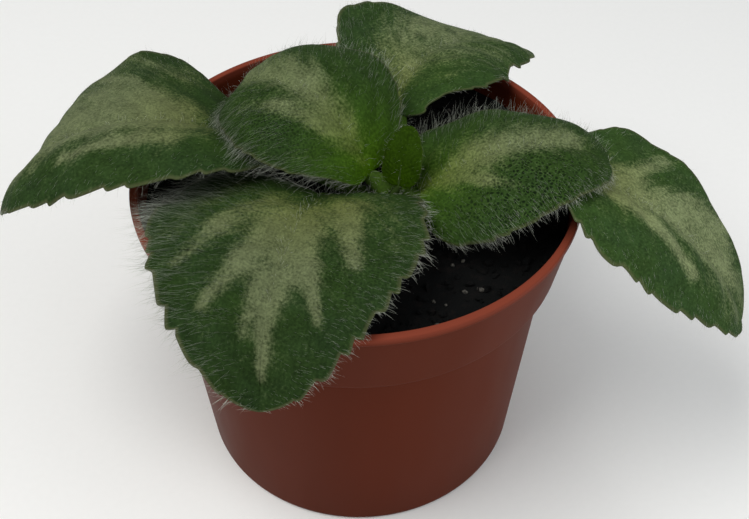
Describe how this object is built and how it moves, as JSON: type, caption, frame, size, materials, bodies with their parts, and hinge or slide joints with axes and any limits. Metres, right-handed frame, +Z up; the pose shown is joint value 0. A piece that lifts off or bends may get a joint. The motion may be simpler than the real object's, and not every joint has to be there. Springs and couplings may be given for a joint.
{
  "type": "potted primulina plant",
  "caption": "Young primulina with thick, toothed, hairy, variegated leaves in a low rosette, growing in a round tapered nursery pot filled with soil.",
  "frame": {"origin": "middle of the underside of the pot, on the surface it stands on", "axes": "+Z up; -Y towards the front, where the broadest leaf hangs over the rim; +X to the right as seen from the front"},
  "size_m": [0.1348, 0.1063, 0.0783],
  "materials": {
    "pot": "terracotta-coloured moulded polypropylene, satin",
    "soil": "damp dark potting mix with pale perlite grains",
    "crown": "hairy yellow-green young stem",
    "leaf": "thick hairy green leaf with pale variegation"
  },
  "bodies": {
    "root": {"pot": "pot", "soil": "soil", "crown": "crown", "leaf_left": "leaf", "leaf_right": "leaf", "leaf_front": "leaf", "leaf_back": "leaf", "leaf_inner_left": "leaf", "leaf_inner_right": "leaf", "leaf_young": "leaf"}
  },
  "joints": []
}
